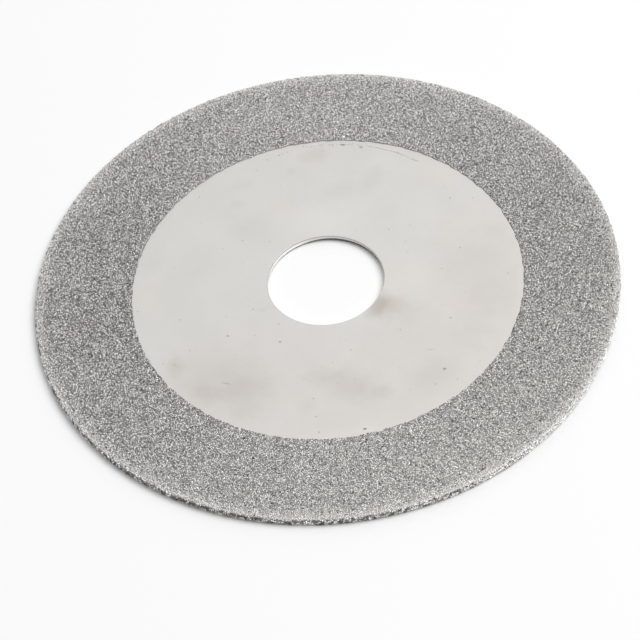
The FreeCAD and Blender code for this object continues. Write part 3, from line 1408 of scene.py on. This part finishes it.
    def plant(self, zone: Zone, sector: int, stock: bpy.types.Collection, tree: Tree) -> Piece:
        """Plant the grains of one piece.

        Args:
            zone: the bed they stand on.
            sector: which share of the bed.
            stock: the kinds of crystal.
            tree: the zone's tree.

        Returns:
            The grains as one plain mesh.
        """
        piece = self.bed(zone)
        piece.name = zone.value if zone is Zone.RIM else f"{zone.value}_{sector + 1}"
        planting = piece.modifiers.new("planting", "NODES")
        planting.node_group = tree
        values = {
            "Crystals": stock,
            "Spacing": self.rim_spacing if zone is Zone.RIM else self.grain_spacing,
            "Tries": self.tries_per_mm2 * PER_MM * PER_MM,
            "Lowest": self.grain_lowest,
            "Highest": self.grain_highest,
            "Sector": sector,
            "Sectors": self.sectors(zone),
            "Seed": self.seed + self.seed_step * list(Zone).index(zone),
        }
        for item in tree.interface.items_tree:
            if item.in_out == "INPUT" and item.name in values:
                planting[item.identifier] = values[item.name]
        bpy.context.view_layer.update()
        settled = piece.evaluated_get(bpy.context.evaluated_depsgraph_get())
        plain = bpy.data.meshes.new_from_object(settled)
        plain.name = piece.name
        bed_mesh = piece.data
        piece.modifiers.clear()
        piece.data = plain
        bpy.data.meshes.remove(bed_mesh)
        return piece

    def sectors(self, zone: Zone) -> int:
        """Return how many pieces a zone's grains are built in."""
        return 1 if zone is Zone.RIM else self.face_sectors

    def build(self) -> list[Piece]:
        """Build the skin and all the grains, and return them."""
        pieces = [self.nickel_skin()]
        stock = self.crystals()
        material = self.diamond.material(self.sizes)
        for zone in Zone:
            tree = self.grain_tree(zone, material)
            pieces += [self.plant(zone, sector, stock, tree) for sector in range(self.sectors(zone))]
        return pieces


@dataclass(frozen=True)
class FloorFinish(Finish):
    """A plain white floor that keeps the disc's soft shadow."""

    name: str = "pale_floor"
    shown: Colour = (1.0, 1.0, 1.0)
    lighting: Colour = (0.78, 0.78, 0.78)

    def material(self) -> Material:
        """Build the finish and return it."""
        material, sheet, shader = self.started()
        sheet.feed(shader.inputs["Base Color"], sheet.blend(sheet.seen(), self.lighting, self.shown))
        sheet.feed(shader.inputs["Roughness"], 1.0)
        sheet.feed(shader.inputs["Specular IOR Level"], 0.0)
        return material


@dataclass
class Studio:
    """The plain studio: floor, daylight all round, one large soft lamp and the camera.

    The floor and the lamp are in metres, and the camera's places in millimetres.
    """

    sizes: DiscSizes
    floor_reach: float = 0.8
    lamp_side: float = 1.1
    lamp_distance: float = 1.6
    lamp_azimuth: float = 6.0
    lamp_elevation: float = 58.0
    lamp_watts: float = 15.2
    sky_dim: float = 0.12
    sky_bright: float = 0.71
    sky_low: float = -0.3
    sky_high: float = 0.92
    sky_axis: tuple[float, float, float] = (-0.05, 0.60, 0.80)
    camera_place: tuple[float, float, float] = (0.0, -255.928, 292.989)
    camera_aim: tuple[float, float, float] = (-1.824, -8.819, 0.5)
    camera_roll: float = -7.92
    camera_lens: float = 128.409
    camera_sensor: float = 36.0
    camera_clip: tuple[float, float] = (0.01, 20.0)

    def floor(self) -> Piece:
        """Lay the floor under the grit, and return it."""
        level = -self.sizes.grit_top
        reach = self.floor_reach
        corners = [(reach * x, reach * y, level) for x, y in ((-1, -1), (1, -1), (1, 1), (-1, 1))]
        data = bpy.data.meshes.new("floor")
        data.from_pydata(corners, [], [(0, 1, 2, 3)])
        data.materials.append(FloorFinish().material())
        floor = placed("floor", data)
        return floor

    def sky(self) -> None:
        """Set the light from all round: dimmer low in front, and plain white where it is seen."""
        world = bpy.data.worlds.new("studio_daylight")
        world.use_nodes = True
        bpy.context.scene.world = world
        sheet = NodeSheet(world.node_tree)
        background = sheet.tree.nodes["Background"]
        axis = Vector(self.sky_axis).normalized()
        toward = sheet.add("ShaderNodeTexCoord").outputs["Generated"]
        share = sheet.vector("DOT_PRODUCT", sheet.vector("NORMALIZE", toward), tuple(axis))
        level = sheet.rise(share, self.sky_low, self.sky_high, self.sky_dim, self.sky_bright)
        sheet.feed(background.inputs["Color"], (1.0, 1.0, 1.0))
        sheet.feed(background.inputs["Strength"], sheet.mixed(sheet.seen(), level, 1.0))

    def lamp(self) -> Piece:
        """Hang the large soft lamp at the right and a little behind, and return it."""
        data = bpy.data.lights.new("soft_lamp", "AREA")
        data.shape = "SQUARE"
        data.size = self.lamp_side
        data.energy = self.lamp_watts
        lamp = placed("soft_lamp", data)
        azimuth = math.radians(self.lamp_azimuth)
        elevation = math.radians(self.lamp_elevation)
        toward = Vector((
            math.cos(elevation) * math.cos(azimuth),
            math.cos(elevation) * math.sin(azimuth),
            math.sin(elevation),
        ))
        lamp.location = toward * self.lamp_distance
        lamp.rotation_mode = "QUATERNION"
        lamp.rotation_quaternion = toward.to_track_quat("Z", "Y")
        return lamp

    def camera(self) -> Piece:
        """Set the camera at the photograph's viewing angle, and return it."""
        data = bpy.data.cameras.new("camera")
        data.lens = self.camera_lens
        data.sensor_width = self.camera_sensor
        data.clip_start, data.clip_end = self.camera_clip
        camera = placed("camera", data)
        place = Vector(self.camera_place) * MM
        aim = Vector(self.camera_aim) * MM
        roll = Quaternion((0.0, 0.0, 1.0), math.radians(self.camera_roll))
        camera.rotation_mode = "QUATERNION"
        camera.location = place
        camera.rotation_quaternion = (aim - place).to_track_quat("-Z", "Y") @ roll
        bpy.context.scene.camera = camera
        return camera

    def build(self) -> None:
        """Set up the whole studio."""
        bpy.context.scene.view_settings.view_transform = "Standard"
        self.floor()
        self.sky()
        self.lamp()
        self.camera()


def triangles(piece: Piece) -> int:
    """Return how many triangles a piece has."""
    return sum(len(face.vertices) - 2 for face in piece.data.polygons)


def main() -> None:
    """Read the disc's sizes, dress the disc, set the studio and log the triangle counts."""
    logging.basicConfig(level=logging.INFO, format="%(message)s")
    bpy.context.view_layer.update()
    nodes = frame["nodes"]
    sizes = DiscSizes.from_frame(nodes)
    blank = SteelBlank(sizes).dress(nodes)
    LOG.info("%s: %d triangles", blank.name, triangles(blank))
    total = 0
    for piece in DiamondCoat(sizes).build():
        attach(piece, BODY)
        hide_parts(COAT_NODE)
        total += triangles(piece)
        LOG.info("%s: %d triangles", piece.name, triangles(piece))
    LOG.info("added in all: %d triangles", total)
    Studio(sizes).build()


if __name__ == "__main__":
    main()
